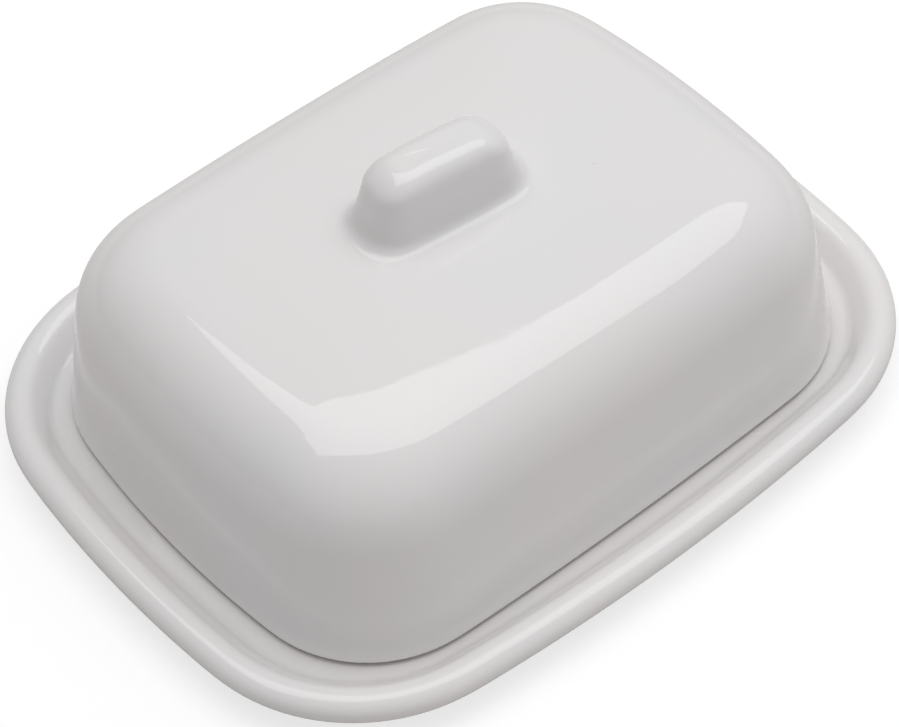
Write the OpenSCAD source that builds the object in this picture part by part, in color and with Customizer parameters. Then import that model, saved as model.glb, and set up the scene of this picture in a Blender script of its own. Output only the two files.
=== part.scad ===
// Butter dish: a shallow tray with a raised, rounded rim, and a loose hollow lid with a cast-on grip.
// Millimetres. The origin is the centre of the foot ring, on the surface the dish stands on.
// X runs along the long sides, Y along the short sides, Z up.

/* [Tray] */
// Length over the rim
tray_length = 190; // [188:1:215]
// Width over the rim
tray_width = 151; // [150:1:175]
// Corner radius of the rim's outline
tray_corner_r = 43.4; // [40:0.2:50]
// Radius of the gentle outward bow of a long side
tray_long_bow_r = 545; // [450:5:900]
// Radius of the gentle outward bow of a short side
tray_short_bow_r = 310; // [260:5:600]
// Height of the flat well floor above the table
well_height = 6.4; // [5.6:0.1:9]
// Height of the rim's crest above the well floor
rim_rise = 5.4; // [4.8:0.1:5.6]
// Width of the rim, from its outer edge to the well's flat floor
rim_width = 11.6; // [11.4:0.1:12.4]
// Distance from the rim's outer edge to its crest
rim_crest_inset = 3.9; // [3.4:0.1:4]
// Rounding over the rim's crest
rim_crest_r = 4.2; // [4.1:0.1:4.6]
// Rounding of the rim's outer edge
rim_edge_r = 2.3; // [2:0.1:2.6]
// Height of the upright part of the rim's outer edge
rim_flank = 0.6; // [0.4:0.1:1.8]
// Fillet between the rim and the well floor
well_fillet_r = 2.4; // [2:0.1:2.6]

/* [Foot] */
// Distance from the rim's outer edge to the middle of the foot ring
foot_inset = 20.5; // [19:0.5:22]
// Width of the foot ring's resting face
foot_width = 3.4; // [2:0.2:4]
// Height of the recess inside the foot ring
foot_height = 1.6; // [1.2:0.1:2]
// Rounding of the foot ring's edges
foot_edge = 0.6; // [0.4:0.1:0.8]

/* [Lid] */
// Length over the lid's lower edge
lid_length = 159.2; // [154:0.2:162]
// Width over the lid's lower edge
lid_width = 122.8; // [116:0.2:123]
// Corner radius of the lid's lower edge
lid_corner_r = 30.6; // [28:0.2:34]
// How fast the corners tighten towards the top: corner radius lost per millimetre of inset
lid_corner_tighten = 0.7; // [0.5:0.05:0.9]
// Radius of the gentle outward bow of a long side
lid_long_bow_r = 1190; // [800:10:1500]
// Radius of the gentle outward bow of a short side
lid_short_bow_r = 275; // [240:5:500]
// Height of the lid's shoulders above its lower edge
lid_height = 48.4; // [46:0.2:52]
// How much higher the top stands round the grip than at the shoulders
lid_crown = 1.3; // [0.4:0.1:1.6]
// Wall thickness
lid_wall = 4; // [3:0.2:5]
// Lean of the side walls from upright, in degrees
lid_draft = 9.3; // [6:0.1:11]
// Radius of the shoulder between the walls and the top
lid_shoulder_r = 21.6; // [14:0.2:24]
// Rounding of the lid's lower edge
lid_edge_r = 1.4; // [0.8:0.1:1.4]

/* [Grip] */
// Length of the grip just above its fillet
grip_length = 39; // [36:0.5:44]
// Width of the grip just above its fillet
grip_width = 16.8; // [16:0.2:18]
// Corner radius of the grip just above its fillet, seen from above
grip_corner_r = 6.2; // [5.6:0.1:6.4]
// Height of the grip above the lid's top
grip_height = 15.6; // [14:0.2:17]
// Lean of the grip's long faces from upright, in degrees
grip_draft = 8; // [5:0.5:9]
// How much further the grip's ends draw in than its long faces do
grip_end_draw = 4.2; // [1:0.2:5]
// Rounding between the grip's faces and its ridge
grip_ridge_r = 5; // [4:0.1:5]
// Radius of the ridge's gentle arch along the grip
grip_arch_r = 130; // [90:5:400]
// Fillet where the grip meets the lid
grip_fillet_r = 3; // [2:0.1:3.4]
// Turn of the grip about the vertical, in degrees
grip_turn = -5.5; // [-8:0.5:8]
// How far the grip stands off the middle of the lid, along the long sides
grip_shift_x = 0.3; // [-3:0.1:3]
// How far the grip stands off the middle of the lid, along the short sides
grip_shift_y = 2.3; // [-3:0.1:3]

/* [Hidden] */

porcelain = [0.92, 0.91, 0.90];
// Steps along one corner arc, one side arc and one rounded stretch of a section.
corner_steps = 14;
side_steps = 6;
round_steps = 7;
// Rings across the lid's top, between its shoulders and the grip.
crown_steps = 8;
// Bow radii of the grip's long and short faces, and how its corners tighten with inset.
grip_long_bow_r = 400;
grip_short_bow_r = 24;
grip_corner_tighten = 0.8;
// Inset over which most of the ends' extra draw takes place.
grip_end_ease = 2;
// Air left between the resting lid and the well floor.
lid_gap = 0.02;

// Heights above the table.
rim_crest_z = well_height + rim_rise;
lid_z = well_height + lid_gap;

// ---- Outlines ----
// An outline is four side arcs and four corner arcs, tangent to each other:
// [half length, half width, corner radius, long side radius, short side radius, corner tighten].
tray_outline = [tray_length / 2, tray_width / 2, tray_corner_r, tray_long_bow_r, tray_short_bow_r, 1];
lid_outline = [lid_length / 2, lid_width / 2, lid_corner_r, lid_long_bow_r, lid_short_bow_r, lid_corner_tighten];
grip_outline = [
    grip_length / 2, grip_width / 2, grip_corner_r, grip_long_bow_r, grip_short_bow_r, grip_corner_tighten
];

// Tilt of the lid's top where it leaves the shoulders.
crown_tilt = atan(2 * lid_crown / (lid_width / 2 - shoulder_centre()[0] - grip_width / 2 - grip_fillet_r));

// The same outline, a distance inside itself.
function inset_outline(o, d) =
    [o[0] - d, o[1] - d, o[2] - o[5] * d, o[3] - d, o[4] - d, o[5]];

// Points along an arc, from one angle towards another, without the last one.
function open_arc(centre, r, from, to, steps) =
    [for (i = [0:steps - 1])
        let (a = from + (to - from) * i / steps)
        centre + r * [cos(a), sin(a)]];

// Points along an arc, with both ends.
function arc(centre, r, from, to) =
    concat(
        open_arc(centre, r, from, to, round_steps),
        [centre + r * [cos(to), sin(to)]]
    );

// Centre of the corner arc in the first quadrant, tangent inside both of its neighbouring side arcs.
function corner_centre(o) =
    let (
        p = [0, o[1] - o[3]],
        q = [o[0] - o[4], 0],
        reach_p = o[3] - o[2],
        reach_q = o[4] - o[2],
        gap = norm(q - p),
        along = (reach_p * reach_p - reach_q * reach_q + gap * gap) / (2 * gap),
        across = sqrt(reach_p * reach_p - along * along),
        unit = (q - p) / gap
    )
    p + along * unit + across * [unit[1], -unit[0]];

// The closed outline as points, anticlockwise from the right-hand side.
function outline_points(o) =
    let (
        c = corner_centre(o),
        long_y = o[1] - o[3],
        short_x = o[0] - o[4],
        side = atan2(c[1], c[0] - short_x),
        top = 90 - atan2(c[0], c[1] - long_y)
    )
    concat(
        open_arc([short_x, 0], o[4], -side, side, side_steps),
        open_arc(c, o[2], side, top, corner_steps),
        open_arc([0, long_y], o[3], top, 180 - top, side_steps),
        open_arc([-c[0], c[1]], o[2], 180 - top, 180 - side, corner_steps),
        open_arc([-short_x, 0], o[4], 180 - side, 180 + side, side_steps),
        open_arc(-c, o[2], 180 + side, 180 + top, corner_steps),
        open_arc([0, -long_y], o[3], 180 + top, 360 - top, side_steps),
        open_arc([c[0], -c[1]], o[2], 360 - top, 360 - side, corner_steps)
    );

// A closed ring in space for each point of a section. A section point is [inset, height].
function rings(o, section) =
    [for (s = section)
        [for (p = outline_points(inset_outline(o, s[0]))) [p[0], p[1], s[1]]]];

// A closed skin over a stack of rings, capped by the first and the last ring.
module skin(stack) {
    n = len(stack[0]);
    last = len(stack) - 1;
    walls = [
        for (k = [0:last - 1], i = [0:n - 1])
            let (j = (i + 1) % n, a = k * n, b = a + n)
            each [[a + i, b + i, b + j], [a + i, b + j, a + j]]
    ];
    first_cap = [for (i = [0:n - 1]) i];
    last_cap = [for (i = [n - 1:-1:0]) last * n + i];
    polyhedron(
        points = [for (ring = stack) each ring],
        faces = concat(walls, [first_cap, last_cap]),
        convexity = 6
    );
}

// ---- Tray ----
// From the recess underneath, out over the foot ring, round the rim and down to the well floor.
function tray_section() =
    let (
        crest = [rim_crest_inset, rim_crest_z - rim_crest_r],
        sideways = rim_crest_inset - rim_edge_r,
        reach = rim_crest_r - rim_edge_r,
        upper = [rim_edge_r, crest[1] + sqrt(reach * reach - sideways * sideways)],
        lower = upper - [0, rim_flank],
        crest_start = atan2(upper[1] - crest[1], -sideways),
        fillet = [rim_width, well_height + well_fillet_r],
        span = fillet - crest,
        rim_slope = asin((rim_crest_r + well_fillet_r) / norm(span)) - atan2(span[1], span[0]),
        foot_out = foot_inset - foot_width / 2,
        foot_in = foot_inset + foot_width / 2,
        shank = [foot_out - 2 * foot_edge, foot_height * 0.7],
        to_lower = [shank[0] - lower[0], lower[1] - shank[1]],
        under_slope = atan2(to_lower[1], to_lower[0]) - asin(rim_edge_r / norm(to_lower))
    )
    concat(
        [
            [foot_in + 2 * foot_edge, foot_height],
            [foot_in + foot_edge, foot_edge],
            [foot_in, 0],
            [foot_out, 0],
            [foot_out - foot_edge, foot_edge],
            shank
        ],
        arc(lower, rim_edge_r, 270 - under_slope, 180),
        open_arc(upper, rim_edge_r, 180, crest_start, round_steps),
        arc(crest, rim_crest_r, crest_start, 90 - rim_slope),
        arc(fillet, well_fillet_r, 270 - rim_slope, 270)
    );

module tray() {
    color(porcelain)
        skin(rings(tray_outline, tray_section()));
}

// ---- Lid ----
// Centre of the shoulder's arcs, shared by the outside and the inside: [inset, height above the lower edge].
function shoulder_centre() =
    let (
        z = lid_height - lid_shoulder_r,
        wall_foot = lid_edge_r - lid_edge_r / cos(lid_draft)
    )
    [wall_foot + (z - lid_edge_r) * tan(lid_draft) + lid_shoulder_r / cos(lid_draft), z];

// The hollow underside, from the middle of its ceiling down to the lower edge, then up the outside.
function lid_section() =
    let (shoulder = shoulder_centre())
    concat(
        arc(shoulder, lid_shoulder_r - lid_wall, 90, 180 - lid_draft),
        arc([lid_wall - lid_edge_r, lid_edge_r], lid_edge_r, -lid_draft, -90),
        arc([lid_edge_r, lid_edge_r], lid_edge_r, 270, 180 - lid_draft),
        arc(shoulder, lid_shoulder_r, 180 - lid_draft, 90 + crown_tilt)
    );

// The grip, from its fillet on the lid's top up to its ridge: [inset, height above the lid's top].
function grip_section() =
    let (
        fillet_z = grip_fillet_r,
        fillet_inset = -grip_fillet_r / cos(grip_draft),
        face_top = grip_height - grip_ridge_r,
        ridge_inset = (face_top - fillet_z) * tan(grip_draft) + grip_ridge_r / cos(grip_draft)
    )
    concat(
        arc([fillet_inset, fillet_z], grip_fillet_r, -90, -grip_draft),
        arc([ridge_inset, face_top], grip_ridge_r, 180 - grip_draft, 90)
    );

// The grip's outline at an inset. Its ends draw in further than its long faces.
function grip_outline_at(d) =
    let (o = inset_outline(grip_outline, d), extra = grip_end_draw * (1 - exp(-max(0, d) / grip_end_ease)))
    [o[0] - extra, o[1], o[2], o[3], o[4] - extra, o[5]];

// A point of the grip, given on its outline and by its height above the lid's top: arched along the ridge,
// turned and moved to where the grip stands.
function grip_point(p, height) =
    let (upper = height / grip_height)
    [
        p[0] * cos(grip_turn) - p[1] * sin(grip_turn) + grip_shift_x,
        p[0] * sin(grip_turn) + p[1] * cos(grip_turn) + grip_shift_y,
        lid_height + lid_crown + height - upper * upper * p[0] * p[0] / (2 * grip_arch_r)
    ];

// The grip's rings, from the lid's top to the ridge, then in over the ridge to its middle.
function grip_rings() =
    let (ridge = grip_section()[2 * round_steps + 1])
    concat(
        [for (s = grip_section())
            [for (p = outline_points(grip_outline_at(s[0]))) grip_point(p, s[1])]],
        [for (shrink = [0.6, 0.2])
            [for (p = outline_points(grip_outline_at(ridge[0]))) grip_point(shrink * p, ridge[1])]]
    );

// Rings over the lid's top, which eases from its tilt at the shoulders to level at the grip.
function crown_rings(from, to) =
    [for (k = [1:crown_steps - 1])
        let (t = k / crown_steps, rise = 1 - (1 - t) * (1 - t))
        [for (i = [0:len(from) - 1])
            [
                from[i][0] + (to[i][0] - from[i][0]) * t,
                from[i][1] + (to[i][1] - from[i][1]) * t,
                from[i][2] + (to[i][2] - from[i][2]) * rise
            ]]];

// The ceiling of the hollow is the first ring and the middle of the grip's ridge is the last.
module lid() {
    shell = rings(lid_outline, lid_section());
    grip = grip_rings();
    color(porcelain)
        translate([0, 0, lid_z])
            skin(concat(shell, crown_rings(shell[len(shell) - 1], grip[0]), grip));
}

tray();
lid();
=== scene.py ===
import math
from collections import namedtuple

import bpy
import numpy as np
from mathutils import Matrix, Vector, noise


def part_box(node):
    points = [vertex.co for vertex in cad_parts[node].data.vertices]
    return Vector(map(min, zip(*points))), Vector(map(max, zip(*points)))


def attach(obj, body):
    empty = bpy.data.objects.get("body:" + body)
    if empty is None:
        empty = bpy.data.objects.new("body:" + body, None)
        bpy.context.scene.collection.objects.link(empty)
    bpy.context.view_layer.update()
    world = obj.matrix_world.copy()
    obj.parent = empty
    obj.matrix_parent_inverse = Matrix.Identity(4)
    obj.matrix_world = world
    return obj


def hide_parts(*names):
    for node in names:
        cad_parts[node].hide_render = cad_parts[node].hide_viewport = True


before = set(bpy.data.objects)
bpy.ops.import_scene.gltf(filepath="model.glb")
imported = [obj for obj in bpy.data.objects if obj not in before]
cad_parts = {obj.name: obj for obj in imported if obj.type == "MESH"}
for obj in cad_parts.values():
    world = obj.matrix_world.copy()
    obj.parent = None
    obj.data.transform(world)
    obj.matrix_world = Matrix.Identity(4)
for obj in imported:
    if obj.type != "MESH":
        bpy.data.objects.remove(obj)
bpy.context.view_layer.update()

# A porcelain butter dish: a tray with a rolled rim and a loose lid with a cast-on grip.
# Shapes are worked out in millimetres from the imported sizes, and meshes are made in metres.
MM = 0.001

# ---------------------------------------------------------------- sizes
TRAY_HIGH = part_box("tray")[1] / MM
LID_LOW, LID_HIGH = (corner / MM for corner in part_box("lid"))

# An outline is four gently bowed sides joined by four corner arcs. tighten is the corner radius lost per
# millimetre of inset.
Outline = namedtuple("Outline", "half_length half_width corner_r long_r short_r tighten")
TRAY_OUTLINE = Outline(TRAY_HIGH.x, TRAY_HIGH.y, corner_r=43.4, long_r=545.0, short_r=310.0, tighten=1.0)
LID_OUTLINE = Outline(LID_HIGH.x, LID_HIGH.y, corner_r=30.6, long_r=1190.0, short_r=275.0, tighten=0.7)
GRIP_OUTLINE = Outline(19.5, 8.4, corner_r=6.2, long_r=400.0, short_r=24.0, tighten=0.8)

# Heights above the floor.
WELL_Z = LID_LOW.z
RIM_Z = TRAY_HIGH.z
GRIP_TOP_Z = LID_HIGH.z
GRIP_HEIGHT = 15.6
LID_TOP_Z = GRIP_TOP_Z - GRIP_HEIGHT
LID_CROWN = 1.3
SHOULDER_Z = LID_TOP_Z - LID_CROWN

# Tray section. A RUN is a flat stretch that ends a section, so that softening keeps its direction.
RIM_WIDTH = 11.6
RIM_CREST_INSET = 3.9
RIM_CREST_R = 4.2
RIM_EDGE_R = 2.3
RIM_FLANK = 0.6
WELL_FILLET_R = 2.4
FOOT_INSET = 20.5
FOOT_WIDTH = 3.4
FOOT_HEIGHT = 1.6
FOOT_EDGE = 0.6
FOOT_SHANK = 0.7 * FOOT_HEIGHT
RECESS_RUN = 4.0
WELL_RUN = 3.0

# Lid section.
LID_WALL = 4.0
LID_DRAFT = math.radians(9.3)
LID_SHOULDER_R = 21.6
LID_EDGE_R = 1.4
CEILING_RUN = 2.0
CROWN_RUN = 1.0

# Grip section, and where the grip stands on the lid.
GRIP_DRAFT = math.radians(8.0)
GRIP_END_DRAW = 4.2
GRIP_END_EASE = 2.0
GRIP_END_ONSET = 0.6
GRIP_RIDGE_R = 5.0
GRIP_FILLET_R = 3.0
GRIP_FOOT_RUN = 2.0
GRIP_TURN = math.radians(-5.5)
GRIP_SHIFT = (0.3, 2.3)
GRIP_ARCH_R = 130.0

# Mesh spacing along a section, and how far each section and outline is averaged so that arcs run into
# each other without a sudden change of curvature.
SECTION_STEP = 0.5
SECTION_SOFTEN = 0.8
OUTLINE_SOFTEN = 4.0
OUTLINE_POINTS = 240
ARC_STEPS = 24
SMALL_ARC_STEPS = 8
FOOT_ARC_STEPS = 6
SIDE_ARC_STEPS = 60
CORNER_ARC_STEPS = 90

# Rings over the lid's top, over the ridge of the grip and across a flat cap.
CROWN_RINGS = 24
RIDGE_RINGS = 5
CAP_RINGS = 14

# Heights between which a piece goes from its exact shape to its full unevenness.
TRAY_FOOT_LOOSENS = (2.0, 5.0)
TRAY_WELL_LOOSENS = (WELL_Z + 0.1, WELL_Z + 2.5)
LID_EDGE_LOOSENS = (LID_LOW.z + 0.5, LID_LOW.z + 8.0)

# Seeds the unevenness of the cast walls, so that it is the same on every run.
noise.seed_set(3)


# ---------------------------------------------------------------- plane geometry
def arc(centre, r, start, end, steps=ARC_STEPS):
    """Points on an arc, angles in radians."""
    angles = np.linspace(start, end, steps)
    return np.stack([centre[0] + r * np.cos(angles), centre[1] + r * np.sin(angles)], axis=1)


def resample(path, spacing):
    """The same path with even spacing."""
    steps = np.linalg.norm(np.diff(path, axis=0), axis=1)
    along = np.concatenate([[0.0], np.cumsum(steps)])
    wanted = np.linspace(0.0, along[-1], max(2, int(round(along[-1] / spacing)) + 1))
    return np.stack([np.interp(wanted, along, path[:, k]) for k in range(path.shape[1])], axis=1)


def averaging_weights(spacing, reach):
    """Weights of an average over reach millimetres each way, and how many points that is."""
    half = max(1, int(round(reach / spacing)))
    weights = np.hanning(2 * half + 3)[1:-1]
    return weights / weights.sum(), half


def soften_closed(path, reach):
    """Averages a closed, evenly spaced path over reach millimetres each way."""
    weights, half = averaging_weights(np.linalg.norm(path[1] - path[0]), reach)
    out = np.zeros_like(path)
    for shift, weight in zip(range(-half, half + 1), weights):
        out += weight * np.roll(path, shift, axis=0)
    return out


def soften_open(path, spacing, reach):
    """Averages an open, evenly spaced path, keeping its ends and their direction."""
    weights, half = averaging_weights(spacing, reach)
    before = 2 * path[0] - path[1:half + 1][::-1]
    after = 2 * path[-1] - path[-half - 1:-1][::-1]
    padded = np.vstack([before, path, after])
    return np.stack([np.convolve(padded[:, k], weights, mode="valid") for k in range(2)], axis=1)


def section(*stretches):
    """A section path of (inset, height) points, evenly spaced and softened."""
    path = resample(np.vstack(stretches), SECTION_STEP)
    return soften_open(path, SECTION_STEP, SECTION_SOFTEN)


def corner_centre(o):
    """Centre of the first quadrant's corner arc, tangent inside both neighbouring side arcs."""
    p = np.array([0.0, o.half_width - o.long_r])
    q = np.array([o.half_length - o.short_r, 0.0])
    reach_p = o.long_r - o.corner_r
    reach_q = o.short_r - o.corner_r
    gap = np.linalg.norm(q - p)
    along = (reach_p ** 2 - reach_q ** 2 + gap ** 2) / (2 * gap)
    across = math.sqrt(reach_p ** 2 - along ** 2)
    unit = (q - p) / gap
    return p + along * unit + across * np.array([unit[1], -unit[0]])


def outline_ring(o, inset):
    """Closed ring of OUTLINE_POINTS points, a distance inside the outline, anticlockwise from +X."""
    o = Outline(o.half_length - inset, o.half_width - inset, o.corner_r - o.tighten * inset,
                o.long_r - inset, o.short_r - inset, o.tighten)
    centre = corner_centre(o)
    short_x = o.half_length - o.short_r
    long_y = o.half_width - o.long_r
    side = math.atan2(centre[1], centre[0] - short_x)
    top = math.pi / 2 - math.atan2(centre[0], centre[1] - long_y)
    quarter = np.vstack([
        arc((short_x, 0.0), o.short_r, 0.0, side, SIDE_ARC_STEPS)[:-1],
        arc(centre, o.corner_r, side, top, CORNER_ARC_STEPS)[:-1],
        arc((0.0, long_y), o.long_r, top, math.pi / 2, SIDE_ARC_STEPS),
    ])
    quarter = resample(quarter, np.linalg.norm(np.diff(quarter, axis=0), axis=1).sum()
                       / (OUTLINE_POINTS // 4))
    mirror = quarter[::-1] * [-1, 1]
    half = np.vstack([quarter[:-1], mirror[:-1]])
    ring = np.vstack([half, -half])
    return soften_closed(ring, min(OUTLINE_SOFTEN, 0.5 * o.corner_r))


# ---------------------------------------------------------------- sections
def line(*points):
    """Corner points of a straight stretch of a section."""
    return np.array(points, float)


def tray_section():
    """From the recess underneath, out over the foot ring, round the rim and down to the well floor."""
    crest = np.array([RIM_CREST_INSET, RIM_Z - RIM_CREST_R])
    reach = RIM_CREST_R - RIM_EDGE_R
    sideways = RIM_CREST_INSET - RIM_EDGE_R
    upper = np.array([RIM_EDGE_R, crest[1] + math.sqrt(reach ** 2 - sideways ** 2)])
    lower = upper - [0.0, RIM_FLANK]
    turn = math.atan2(upper[1] - crest[1], -sideways)
    fillet = np.array([RIM_WIDTH, WELL_Z + WELL_FILLET_R])
    span = fillet - crest
    slope = math.asin((RIM_CREST_R + WELL_FILLET_R) / np.linalg.norm(span)) - math.atan2(span[1], span[0])
    foot_out = FOOT_INSET - FOOT_WIDTH / 2
    foot_in = FOOT_INSET + FOOT_WIDTH / 2
    shank = np.array([foot_out - 2 * FOOT_EDGE, FOOT_SHANK])
    to_lower = np.array([shank[0] - lower[0], lower[1] - shank[1]])
    under = math.atan2(to_lower[1], to_lower[0]) - math.asin(RIM_EDGE_R / np.linalg.norm(to_lower))
    return section(
        line([foot_in + RECESS_RUN, FOOT_HEIGHT], [foot_in + 2 * FOOT_EDGE, FOOT_HEIGHT],
             [foot_in + FOOT_EDGE, FOOT_EDGE]),
        arc((foot_in, FOOT_EDGE), FOOT_EDGE, 0, -math.pi / 2, FOOT_ARC_STEPS),
        arc((foot_out, FOOT_EDGE), FOOT_EDGE, -math.pi / 2, -math.pi, FOOT_ARC_STEPS),
        line(shank),
        arc(lower, RIM_EDGE_R, 1.5 * math.pi - under, math.pi),
        arc(upper, RIM_EDGE_R, math.pi, turn),
        arc(crest, RIM_CREST_R, turn, math.pi / 2 - slope),
        arc(fillet, WELL_FILLET_R, 1.5 * math.pi - slope, 1.5 * math.pi),
        line([RIM_WIDTH + WELL_RUN, WELL_Z]),
    )


def shoulder_centre():
    """Shared centre of the shoulder's outer and inner arcs, (inset, height)."""
    height = SHOULDER_Z - LID_SHOULDER_R
    rise = height - LID_LOW.z - LID_EDGE_R
    wall_foot = LID_EDGE_R - LID_EDGE_R / math.cos(LID_DRAFT)
    return np.array([wall_foot + rise * math.tan(LID_DRAFT) + LID_SHOULDER_R / math.cos(LID_DRAFT), height])


def crown_tilt():
    """Tilt of the lid's top where it leaves the shoulders."""
    span = LID_OUTLINE.half_width - shoulder_centre()[0] - GRIP_OUTLINE.half_width - GRIP_FILLET_R
    return math.atan(2 * LID_CROWN / span)


def lid_section():
    """From the ceiling of the hollow, down its inside, round the lower edge and up the outside to the top."""
    shoulder = shoulder_centre()
    edge_z = LID_LOW.z + LID_EDGE_R
    tilt = crown_tilt()
    rim_of_top = shoulder + LID_SHOULDER_R * np.array([-math.sin(tilt), math.cos(tilt)])
    return section(
        line([shoulder[0] + CEILING_RUN, SHOULDER_Z - LID_WALL]),
        arc(shoulder, LID_SHOULDER_R - LID_WALL, math.pi / 2, math.pi - LID_DRAFT),
        arc((LID_WALL - LID_EDGE_R, edge_z), LID_EDGE_R, -LID_DRAFT, -math.pi / 2, SMALL_ARC_STEPS),
        arc((LID_EDGE_R, edge_z), LID_EDGE_R, 1.5 * math.pi, math.pi - LID_DRAFT, SMALL_ARC_STEPS),
        arc(shoulder, LID_SHOULDER_R, math.pi - LID_DRAFT, math.pi / 2 + tilt),
        line(rim_of_top + CROWN_RUN * np.array([math.cos(tilt), math.sin(tilt)])),
    )


def grip_section():
    """From the fillet on the lid's top up to the ridge."""
    fillet = np.array([-GRIP_FILLET_R / math.cos(GRIP_DRAFT), LID_TOP_Z + GRIP_FILLET_R])
    face_top = GRIP_TOP_Z - GRIP_RIDGE_R
    ridge_inset = (face_top - fillet[1]) * math.tan(GRIP_DRAFT) + GRIP_RIDGE_R / math.cos(GRIP_DRAFT)
    return section(
        line([fillet[0] - GRIP_FOOT_RUN, LID_TOP_Z]),
        arc(fillet, GRIP_FILLET_R, -math.pi / 2, -GRIP_DRAFT),
        arc((ridge_inset, face_top), GRIP_RIDGE_R, math.pi - GRIP_DRAFT, math.pi / 2),
    )


# ---------------------------------------------------------------- meshes
def lift(ring, height):
    """A plane ring as points in space."""
    return np.column_stack([ring, np.full(len(ring), height)])


def swept(o, path):
    """One ring in space for each point of a section."""
    return [lift(outline_ring(o, inset), height) for inset, height in path]


def grip_ring(inset, height):
    """One ring of the grip. Its ends draw in further than its long faces, and its ridge arches along it."""
    onset = 0.5 * (inset + math.hypot(inset, GRIP_END_ONSET))
    extra = GRIP_END_DRAW * (1 - math.exp(-onset / GRIP_END_EASE))
    o = GRIP_OUTLINE._replace(half_length=GRIP_OUTLINE.half_length - extra,
                              short_r=GRIP_OUTLINE.short_r - extra)
    ring = lift(outline_ring(o, inset), height)
    upper = (height - LID_TOP_Z) / GRIP_HEIGHT
    ring[:, 2] -= upper ** 2 * ring[:, 0] ** 2 / (2 * GRIP_ARCH_R)
    turn = np.array([[math.cos(GRIP_TURN), math.sin(GRIP_TURN)], [-math.sin(GRIP_TURN), math.cos(GRIP_TURN)]])
    ring[:, :2] = ring[:, :2] @ turn + GRIP_SHIFT
    return ring


def crown(first, last, tilt):
    """Rings over the lid's top, from the shoulders' tilt to level at the grip."""
    span = np.linalg.norm(last[:, :2] - first[:, :2], axis=1)
    rings = []
    for t in np.linspace(0, 1, CROWN_RINGS + 2)[1:-1]:
        ring = first + (last - first) * t
        ring[:, 2] = (first[:, 2] + t * (1 - t) ** 2 * math.tan(tilt) * span
                      + t * t * (3 - 2 * t) * (last[:, 2] - first[:, 2]))
        rings.append(ring)
    return rings


def close_in(ring, count=CAP_RINGS, least=0.04):
    """Rings that shrink towards the middle of a flat cap."""
    middle = ring.mean(axis=0)
    return [middle + (ring - middle) * s for s in np.linspace(1, least, count)[1:]]


def fade(value, start, end):
    """0 before start, 1 after end, and smooth in between."""
    t = min(1.0, max(0.0, (value - start) / (end - start)))
    return t * t * (3 - 2 * t)


def waver(point, seed, swing=0.12, reach=38.0):
    """Slow unevenness of a cast wall, as an offset in millimetres."""
    at = Vector(point) / reach + Vector((seed, 2 * seed, 3 * seed))
    return noise.noise_vector(at) * swing


def skin(name, rings, seed, loose):
    """A closed mesh over a stack of rings, capped with a fan at each end. loose(point) is 0 where the surface
    keeps its exact place and 1 where it is free to waver."""
    n = len(rings[0])
    points = [Vector(p) for ring in rings for p in ring]
    points.append(Vector(rings[0].mean(axis=0)))
    points.append(Vector(rings[-1].mean(axis=0)))
    faces = []
    for k in range(len(rings) - 1):
        for i in range(n):
            j = (i + 1) % n
            faces.append((k * n + i, k * n + j, (k + 1) * n + j, (k + 1) * n + i))
    last = (len(rings) - 1) * n
    for i in range(n):
        j = (i + 1) % n
        faces.append((j, i, len(points) - 2))
        faces.append((last + i, last + j, len(points) - 1))
    mesh = bpy.data.meshes.new(name)
    mesh.from_pydata([(p + waver(p, seed) * loose(p)) * MM for p in points], [], faces)
    mesh.validate()
    mesh.shade_smooth()
    piece = bpy.data.objects.new(name, mesh)
    bpy.context.scene.collection.objects.link(piece)
    return piece


def make_tray():
    """The foot ring and the well keep their exact place. The rim is free to waver."""
    rings = swept(TRAY_OUTLINE, tray_section())
    stack = close_in(rings[0])[::-1] + rings + close_in(rings[-1])
    return skin("tray_body", stack, seed=3.1,
                loose=lambda p: fade(p.z, *TRAY_FOOT_LOOSENS) * fade(p.z, *TRAY_WELL_LOOSENS))


def make_lid():
    """The lower edge, which rests on the well, keeps its exact place."""
    shell = swept(LID_OUTLINE, lid_section())
    grip = [grip_ring(inset, height) for inset, height in grip_section()]
    top = crown(shell[-1], grip[0], crown_tilt())
    stack = close_in(shell[0])[::-1] + shell + top + grip + close_in(grip[-1], RIDGE_RINGS)
    return skin("lid_shell", stack, seed=7.7, loose=lambda p: fade(p.z, *LID_EDGE_LOOSENS))


# ---------------------------------------------------------------- materials
PORCELAIN_WARM = (0.845, 0.824, 0.818, 1)
PORCELAIN_COOL = (0.830, 0.820, 0.824, 1)
GLAZE_POOL = (0.745, 0.752, 0.750, 1)
GLAZE_THIN = (0.865, 0.843, 0.825, 1)
IRON_SPECK = (0.20, 0.14, 0.10, 1)
# Unglazed porcelain: clean under the foot ring. Along the lid's lower edge the bare band is darkened as
# painted shade of the crevice where the lid rests in the well.
FOOT_BARE = ((0.72, 0.68, 0.62, 1), (0.60, 0.56, 0.50, 1))
LID_EDGE_BARE_AND_SHADE = ((0.40, 0.37, 0.34, 1), (0.27, 0.25, 0.23, 1))
FOOT_BARE_TOP = 0.25
# The lid's bare band reaches this high so that its painted shade is as wide as the dark crevice line under
# the lid.
LID_EDGE_SHADE_TOP = LID_LOW.z + 1.1

# Shares of a colour mixed in, where glaze pools, where it thins and in its fine mottle.
POOL_SHARE = 0.5
THIN_SHARE = 0.4
MOTTLE_SHARE = 0.06

# Iron specks: one cell in ten has one, and its radius is a share of the cell's size.
SPECK_RARITY = 0.9
SPECK_RADIUS = (0.014, 0.03)
SPECK_SHARE = 0.22

# Roughness of the clean glaze, and what smears, knife marks and bare porcelain bring it to or add.
GLAZE_ROUGHNESS = 0.035
SMEAR_ROUGHNESS = 0.035
MARK_ROUGHNESS = 0.25
BARE_ROUGHNESS = 0.62
GLAZE_IOR = 1.5

# Relief in millimetres.
PEEL_HEIGHT = 0.02
SPECK_DEPTH = 0.01
MARK_DEPTH = 0.006
GRIT_HEIGHT = 0.06

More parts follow.
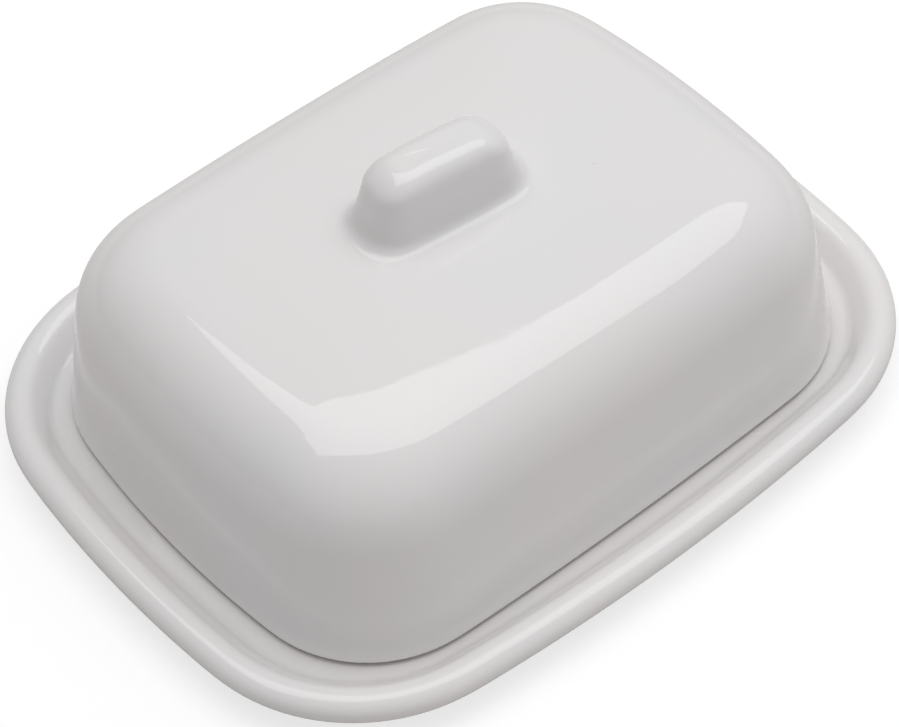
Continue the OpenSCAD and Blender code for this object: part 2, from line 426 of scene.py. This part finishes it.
# How uneven the edge of the glaze is, and over what height it thins out, in millimetres.
GLAZE_LINE_SWING = 0.5
GLAZE_LINE_BLUR = 0.15


class Recipe:
    """Short names for building one material's node tree."""

    def __init__(self, name):
        self.material = bpy.data.materials.new(name)
        self.material.use_nodes = True
        self.tree = self.material.node_tree
        self.shader = self.tree.nodes["Principled BSDF"]

    def feed(self, socket, value):
        """Connects an output to a socket, or sets the socket to a plain value."""
        if isinstance(value, bpy.types.NodeSocket):
            self.tree.links.new(value, socket)
        else:
            socket.default_value = value

    def add(self, kind, **inputs):
        """A new node with its inputs fed. An underscore stands for a space in an input's name."""
        node = self.tree.nodes.new(kind)
        for key, value in inputs.items():
            self.feed(node.inputs[key.replace("_", " ")], value)
        return node

    def math(self, operation, first, second=0.0):
        """Result of one sum."""
        node = self.tree.nodes.new("ShaderNodeMath")
        node.operation = operation
        self.feed(node.inputs[0], first)
        self.feed(node.inputs[1], second)
        return node.outputs[0]

    def ramp(self, value, low, high, start=0.0, end=1.0):
        """Smooth step from start to end while value goes from low to high."""
        node = self.tree.nodes.new("ShaderNodeMapRange")
        node.interpolation_type = "SMOOTHSTEP"
        for socket, setting in zip(node.inputs, (value, low, high, start, end)):
            self.feed(socket, setting)
        return node.outputs[0]

    def mix(self, amount, first, second):
        """Mix of two colours."""
        node = self.tree.nodes.new("ShaderNodeMix")
        node.data_type = "RGBA"
        self.feed(node.inputs["Factor"], amount)
        self.feed(node.inputs["A"], first)
        self.feed(node.inputs["B"], second)
        return node.outputs["Result"]

    def noise(self, where, scale, detail=2.0, roughness=0.5):
        """Cloudy noise from 0 to 1, with scale in clouds per millimetre."""
        node = self.add("ShaderNodeTexNoise", Vector=where, Scale=scale, Detail=detail, Roughness=roughness)
        return node.outputs["Fac"]

    def place(self, seed, stretch=(1, 1, 1), turn=(0, 0, 0)):
        """Object coordinates in millimetres, moved by a seed."""
        source = self.tree.nodes.new("ShaderNodeTexCoord").outputs["Object"]
        node = self.add("ShaderNodeMapping", Vector=source)
        node.inputs["Scale"].default_value = [s / MM for s in stretch]
        node.inputs["Location"].default_value = (seed * 61.0, seed * 37.0, seed * 83.0)
        node.inputs["Rotation"].default_value = turn
        return node.outputs[0]


def scratches(recipe, seed, turn):
    """Thin straight marks in one direction, 1 on a mark and 0 beside it."""
    where = recipe.place(seed, (0.045, 2.2, 1.0), (0, 0, turn))
    streak = recipe.noise(where, 1.0, 1.0)
    patch = recipe.noise(recipe.place(seed + 5), 0.03, 1.0)
    return recipe.math("MULTIPLY", recipe.ramp(streak, 0.70, 0.76), recipe.ramp(patch, 0.48, 0.62))


def porcelain(name, seed, bare_and_shade_top, bare_and_shade_colours, knife_marks):
    """White body under a clear gloss glaze. Below the height bare_and_shade_top, where the piece stood in the
    kiln, it is bare, and bare_and_shade_colours are the palest and the darkest grain there; on the lid they
    are also painted shade of the crevice where it rests in the well. knife_marks is how strongly a butter
    knife has marked the flat floor of the well."""
    r = Recipe(name)
    where = r.place(seed)
    height = r.tree.nodes.new("ShaderNodeSeparateXYZ")
    r.feed(height.inputs[0], r.tree.nodes.new("ShaderNodeTexCoord").outputs["Object"])
    ragged = r.math("MULTIPLY", r.math("SUBTRACT", r.noise(where, 0.9, 3.0), 0.5), GLAZE_LINE_SWING * MM)
    glaze_edge = r.math("ADD", height.outputs["Z"], ragged)
    bare = r.ramp(glaze_edge, bare_and_shade_top * MM, (bare_and_shade_top + GLAZE_LINE_BLUR) * MM, 1.0, 0.0)

    # Colour: slow drift between a warm and a cool white, deeper where glaze pools, warmer where it thins.
    drift = r.ramp(r.noise(where, 0.016, 3.0, 0.55), 0.3, 0.7)
    white = r.mix(drift, PORCELAIN_WARM, PORCELAIN_COOL)
    bend = r.tree.nodes.new("ShaderNodeNewGeometry").outputs["Pointiness"]
    white = r.mix(r.ramp(bend, 0.5, 0.44, 0.0, POOL_SHARE), white, GLAZE_POOL)
    white = r.mix(r.ramp(bend, 0.5, 0.57, 0.0, THIN_SHARE), white, GLAZE_THIN)
    mottle = r.ramp(r.noise(where, 0.35, 4.0, 0.6), 0.35, 0.65)
    white = r.mix(r.math("MULTIPLY", mottle, MOTTLE_SHARE), white, GLAZE_THIN)

    # A few iron specks and pinholes under the glaze, each a fraction of a millimetre across.
    cells = r.add("ShaderNodeTexVoronoi", Vector=where, Scale=0.11)
    chosen = r.tree.nodes.new("ShaderNodeSeparateXYZ")
    r.feed(chosen.inputs[0], cells.outputs["Color"])
    rare = r.math("GREATER_THAN", chosen.outputs["X"], SPECK_RARITY)
    size = r.ramp(chosen.outputs["Y"], 0.0, 1.0, *SPECK_RADIUS)
    speck = r.math("MULTIPLY", rare, r.math("LESS_THAN", cells.outputs["Distance"], size))
    white = r.mix(r.math("MULTIPLY", speck, SPECK_SHARE), white, IRON_SPECK)
    grit = r.ramp(r.noise(where, 2.6, 4.0, 0.7), 0.35, 0.7)
    # Bare porcelain grain below the glaze line. On the lid's lower edge these dark colours are painted shade
    # of the crevice.
    body = r.mix(grit, *bare_and_shade_colours)
    r.feed(r.shader.inputs["Base Color"], r.mix(bare, white, body))

    # Gloss: dry smears and handling marks, and knife marks on the well's floor.
    wiped = r.place(seed + 2, (1.0, 0.35, 1.0), (0, 0, 0.7))
    smear = r.ramp(r.noise(wiped, 0.05, 5.0, 0.62), 0.45, 0.75)
    gloss = r.math("ADD", r.math("MULTIPLY", smear, SMEAR_ROUGHNESS), GLAZE_ROUGHNESS)
    marks = r.math("MAXIMUM", scratches(r, seed, 0.5), scratches(r, seed + 1, -0.25))
    marks = r.math("MULTIPLY", marks, knife_marks)
    level = r.ramp(height.outputs["Z"], (WELL_Z + 0.05) * MM, (WELL_Z + 0.5) * MM, 1.0, 0.0)
    marks = r.math("MULTIPLY", marks, level)
    gloss = r.math("ADD", gloss, r.math("MULTIPLY", marks, MARK_ROUGHNESS))
    r.feed(r.shader.inputs["Roughness"], r.math("MAXIMUM", gloss, r.math("MULTIPLY", bare, BARE_ROUGHNESS)))
    r.shader.inputs["IOR"].default_value = GLAZE_IOR

    # Relief: faint orange peel in the glaze, shallow pinholes and marks, and grit where it is bare.
    peel = r.math("ADD", r.noise(where, 0.16, 2.0), r.math("MULTIPLY", r.noise(where, 0.55, 2.0), 0.16))
    relief = r.math("SUBTRACT", r.math("MULTIPLY", peel, PEEL_HEIGHT), r.math("MULTIPLY", speck, SPECK_DEPTH))
    relief = r.math("SUBTRACT", relief, r.math("MULTIPLY", marks, MARK_DEPTH))
    relief = r.math("ADD", relief, r.math("MULTIPLY", r.math("MULTIPLY", grit, bare), GRIT_HEIGHT))
    bump = r.add("ShaderNodeBump", Height=relief, Strength=1.0, Distance=MM)
    r.feed(r.shader.inputs["Normal"], bump.outputs[0])
    return r.material


# ---------------------------------------------------------------- pieces
tray = make_tray()
tray.data.materials.append(porcelain("tray_glaze", 1.0, FOOT_BARE_TOP, FOOT_BARE, knife_marks=1.0))
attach(tray, "tray")
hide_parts("tray")

lid = make_lid()
# The lid's bare lower edge is darkened as painted shade of the crevice where it rests in the well.
lid.data.materials.append(porcelain("lid_glaze", 2.0, LID_EDGE_SHADE_TOP, LID_EDGE_BARE_AND_SHADE, knife_marks=0.0))
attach(lid, "lid")
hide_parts("lid")


# ---------------------------------------------------------------- stage
# Half the floor's width in metres, its colour to the camera and to the dish, and its glow to the camera.
FLOOR_REACH = 3.0
SHEET_SEEN = (0.38, 0.38, 0.38, 1)
SHEET_LIT = (0.71, 0.69, 0.68, 1)
SHEET_GLOW = 0.68


def make_floor():
    """A pale sheet. To the camera it glows a little, like a light table, so that shadows stay faint. The dish
    sees it without that glow."""
    corners = [(x * FLOOR_REACH, y * FLOOR_REACH, 0) for x, y in ((-1, -1), (1, -1), (1, 1), (-1, 1))]
    mesh = bpy.data.meshes.new("floor")
    mesh.from_pydata(corners, [], [(0, 1, 2, 3)])
    floor = bpy.data.objects.new("floor", mesh)
    bpy.context.scene.collection.objects.link(floor)
    r = Recipe("floor_sheet")
    seen = r.tree.nodes.new("ShaderNodeLightPath").outputs["Is Camera Ray"]
    grain = r.math("MULTIPLY", r.noise(r.place(4.0), 0.4, 3.0), 0.03)
    sheet = r.mix(seen, SHEET_LIT, SHEET_SEEN)
    r.feed(r.shader.inputs["Base Color"], r.mix(grain, sheet, (0, 0, 0, 1)))
    r.shader.inputs["Roughness"].default_value = 0.9
    r.shader.inputs["Specular IOR Level"].default_value = 0.1
    r.shader.inputs["Emission Color"].default_value = (1, 1, 1, 1)
    r.feed(r.shader.inputs["Emission Strength"], r.math("MULTIPLY", seen, SHEET_GLOW))
    mesh.materials.append(r.material)


def make_camera(azimuth, elevation, roll, distance, lens, aim):
    """Camera that looks at the dish. Angles are in degrees. aim moves it sideways and up, in millimetres."""
    az, el, tilt = (math.radians(a) for a in (azimuth, elevation, roll))
    back = Vector((math.sin(az) * math.cos(el), -math.cos(az) * math.cos(el), math.sin(el)))
    right = Vector((math.cos(az), math.sin(az), 0))
    up = back.cross(right)
    place = back * distance + right * aim[0] + up * aim[1] + Vector((0, 0, WELL_Z))
    turned_right = right * math.cos(tilt) + up * math.sin(tilt)
    turned_up = up * math.cos(tilt) - right * math.sin(tilt)
    camera = bpy.data.objects.new("camera", bpy.data.cameras.new("camera"))
    bpy.context.scene.collection.objects.link(camera)
    matrix = Matrix((turned_right, turned_up, back)).transposed().to_4x4()
    matrix.translation = place * MM
    camera.matrix_world = matrix
    camera.data.lens = lens
    bpy.context.scene.camera = camera


def soft_box(name, place, size, turn, radiance):
    """A level rectangular lamp overhead. turn is its angle about the vertical, in degrees."""
    data = bpy.data.lights.new(name, "AREA")
    data.shape = "RECTANGLE"
    data.size, data.size_y = size
    data.energy = radiance * math.pi * size[0] * size[1]
    lamp = bpy.data.objects.new(name, data)
    bpy.context.scene.collection.objects.link(lamp)
    lamp.location = place
    lamp.rotation_euler = (0, 0, math.radians(turn))


def make_world(zenith, horizon, side, swing):
    """Studio ceiling and walls: a brightness overhead, one at the horizon, and brighter towards a side."""
    world = bpy.data.worlds.new("studio")
    world.use_nodes = True
    tree = world.node_tree
    way = tree.nodes.new("ShaderNodeTexCoord").outputs["Generated"]
    split = tree.nodes.new("ShaderNodeSeparateXYZ")
    tree.links.new(way, split.inputs[0])
    ramp = tree.nodes.new("ShaderNodeMapRange")
    ramp.interpolation_type = "SMOOTHSTEP"
    tree.links.new(split.outputs["Z"], ramp.inputs["Value"])
    ramp.inputs["To Min"].default_value = horizon
    ramp.inputs["To Max"].default_value = zenith
    lean = tree.nodes.new("ShaderNodeVectorMath")
    lean.operation = "DOT_PRODUCT"
    tree.links.new(way, lean.inputs[0])
    lean.inputs[1].default_value = Vector(side).normalized() * swing
    gain = tree.nodes.new("ShaderNodeMath")
    gain.operation = "ADD"
    tree.links.new(lean.outputs["Value"], gain.inputs[0])
    gain.inputs[1].default_value = 1.0
    total = tree.nodes.new("ShaderNodeMath")
    total.operation = "MULTIPLY"
    tree.links.new(ramp.outputs["Result"], total.inputs[0])
    tree.links.new(gain.outputs[0], total.inputs[1])
    tree.links.new(total.outputs[0], tree.nodes["Background"].inputs["Strength"])
    tree.nodes["Background"].inputs["Color"].default_value = (1, 1, 1, 1)
    bpy.context.scene.world = world


make_floor()
make_camera(azimuth=-37.156, elevation=49.385, roll=-3.706, distance=611.8, lens=108.12, aim=(-0.860, -1.352))
soft_box("key_box", place=(0.553, 0.19, 2.05), size=(2.79, 1.41), turn=-33.6, radiance=2.02)
make_world(zenith=0.55, horizon=0.29, side=(0.75, -0.66, 0.0), swing=0.33)
bpy.context.scene.view_settings.view_transform = "Standard"
